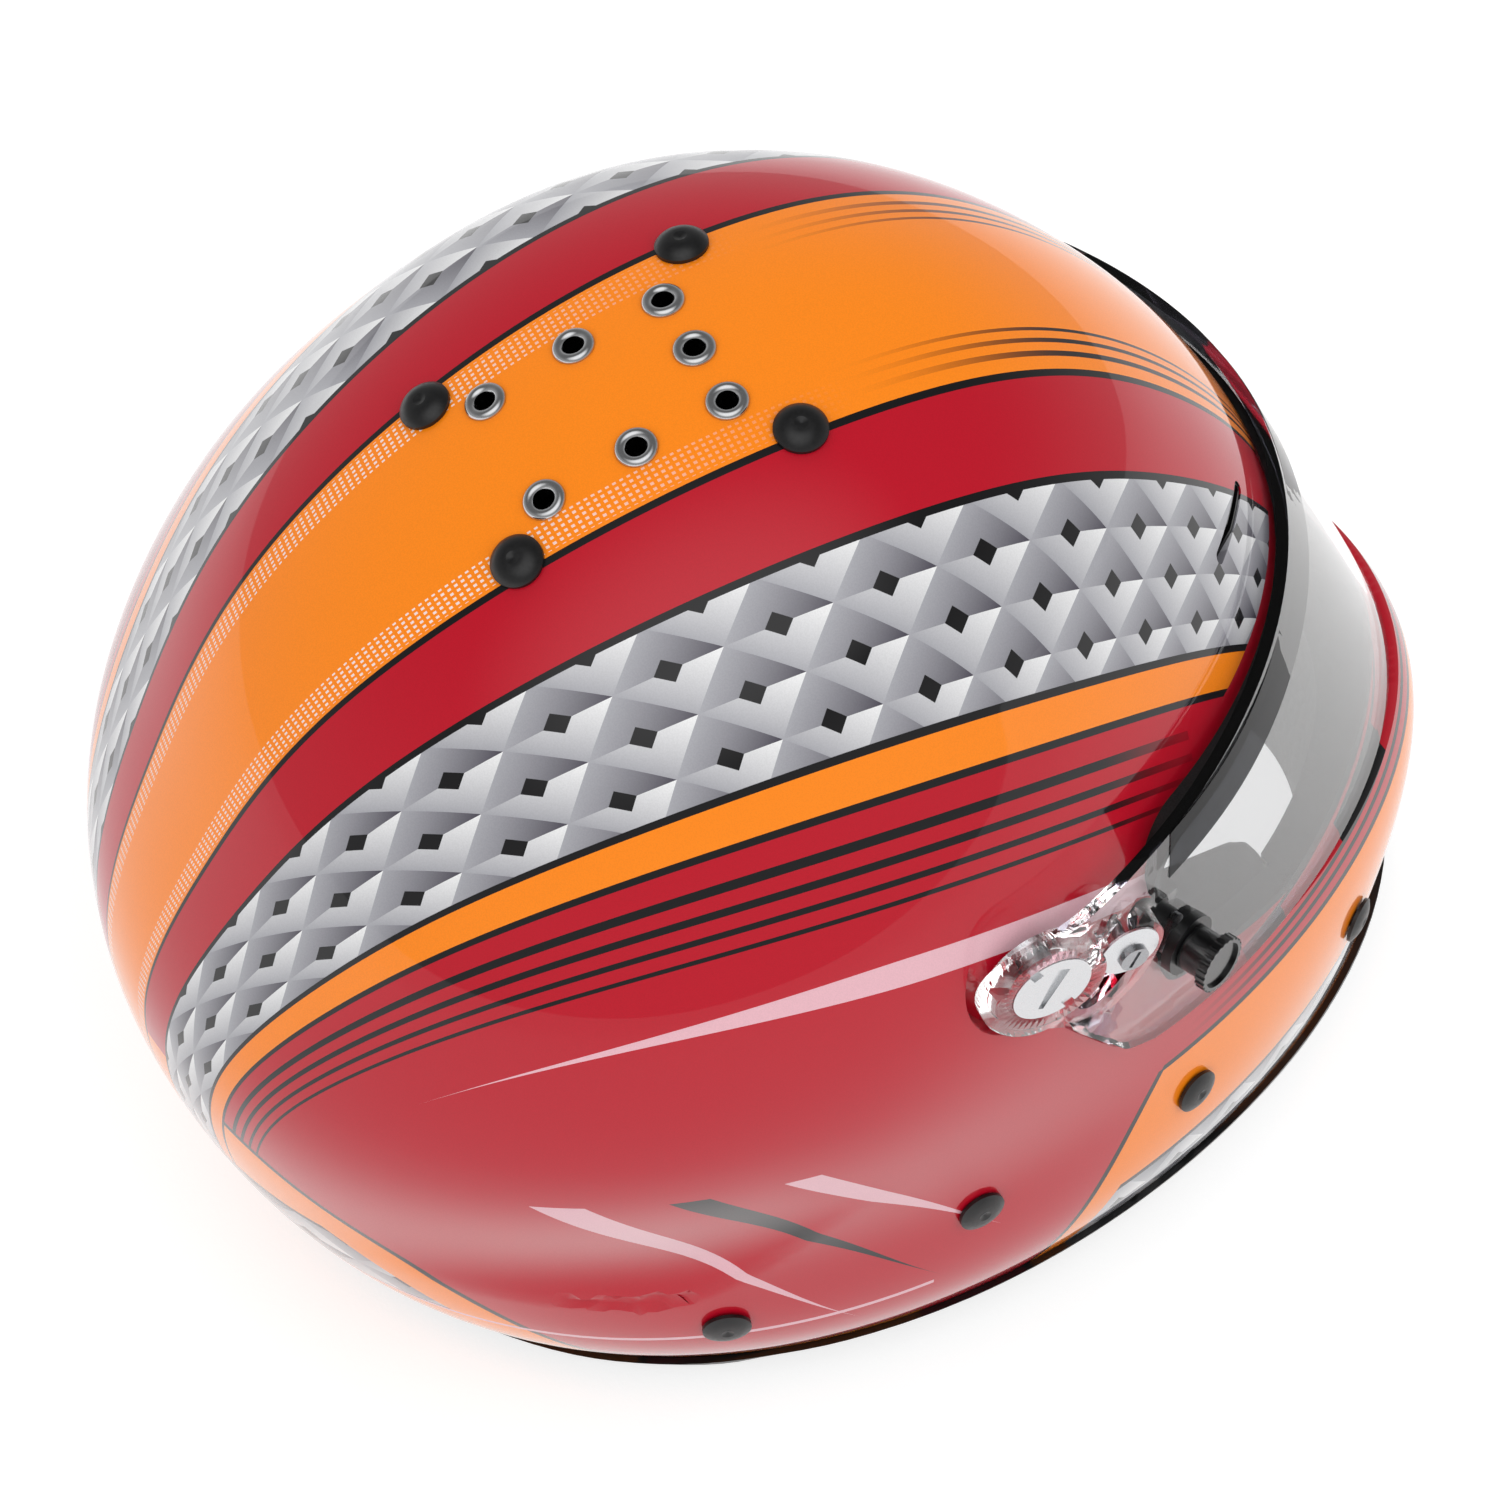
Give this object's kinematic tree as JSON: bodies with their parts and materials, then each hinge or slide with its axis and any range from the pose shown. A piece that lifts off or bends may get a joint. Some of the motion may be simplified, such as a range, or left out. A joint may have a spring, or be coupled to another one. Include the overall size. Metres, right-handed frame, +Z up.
{
  "type": "auto racing helmet",
  "caption": "Full-face auto racing helmet with a clear hinged visor on side pivots, a turn lock, crown vents, plugged side inserts, padding and a chin strap with rings.",
  "frame": {"origin": "under the middle of the bounding box, on the plane that the base trim stands on", "axes": "+Z up, the face looks along -Y, the wearer's right is -X"},
  "size_m": [0.2578, 0.349, 0.2622],
  "materials": {
    "painted_shell": "gloss paint on composite",
    "eps_foam": "moulded bead foam",
    "comfort_fabric": "brushed knit",
    "edge_rubber": "satin extruded edge",
    "seal_rubber": "soft matte",
    "visor_clear": "clear coated sheet",
    "strip_film": "tinted film",
    "pivot_metal": "satin turned",
    "screw_steel": "plain",
    "black_nylon": "moulded",
    "lock_black": "moulded, lightly glossy",
    "plug_black": "moulded, glossy",
    "webbing": "woven",
    "eyelet_steel": "polished",
    "ring_steel": "plated wire"
  },
  "bodies": {
    "shell": {"shell": "painted_shell", "base_trim": "edge_rubber", "eyeport_seal": "seal_rubber", "lock_keeper": "black_nylon", "vent_grommets": "eyelet_steel", "top_plugs": "plug_black", "side_plugs": "plug_black", "threaded_inserts": "screw_steel", "brow_vents": "black_nylon", "impact_liner": "eps_foam", "crown_pad": "comfort_fabric", "cheek_pad_right": "comfort_fabric", "cheek_pad_left": "comfort_fabric", "chin_bar_foam": "eps_foam", "neck_roll": "comfort_fabric", "strap_anchor_right": "black_nylon", "strap_anchor_left": "black_nylon", "chin_strap_right": "webbing", "chin_strap_left": "webbing", "strap_snap": "screw_steel", "pivot_bush_right": "black_nylon", "pivot_screw_right": "pivot_metal", "pivot_nut_right": "screw_steel", "guide_washer_right": "pivot_metal", "guide_sleeve_right": "black_nylon", "guide_screw_right": "screw_steel", "guide_nut_right": "screw_steel", "pivot_bush_left": "black_nylon", "pivot_screw_left": "pivot_metal", "pivot_nut_left": "screw_steel", "guide_washer_left": "pivot_metal", "guide_sleeve_left": "black_nylon", "guide_screw_left": "screw_steel", "guide_nut_left": "screw_steel"},
    "visor": {"visor": "visor_clear", "sun_strip": "strip_film", "lock_collar": "lock_black"},
    "lock": {"lock_knob": "lock_black", "lock_spindle": "screw_steel", "lock_cam": "screw_steel"},
    "ring_inner": {"strap_ring_inner": "ring_steel"},
    "ring_outer": {"strap_ring_outer": "ring_steel"}
  },
  "joints": [
    {"name": "visor_hinge", "type": "hinge", "parent": "shell", "child": "visor", "pos_m": [0, -0.00545, 0.159], "axis": [-1, 0, 0], "range_deg": [0, 45]},
    {"name": "lock_turn", "type": "hinge", "parent": "visor", "child": "lock", "pos_m": [-0.11428, -0.04873, 0.13241], "axis": [-0.9163, -0.3964, 0.0572], "range_deg": [0, 90]},
    {"name": "ring_inner_swing", "type": "hinge", "parent": "shell", "child": "ring_inner", "pos_m": [0.0615, 0.02905, 0.025], "axis": [0, 1, 0], "range_deg": [0, 70]},
    {"name": "ring_outer_swing", "type": "hinge", "parent": "shell", "child": "ring_outer", "pos_m": [0.0667, 0.02905, 0.025], "axis": [0, -1, 0], "range_deg": [0, 70]}
  ]
}
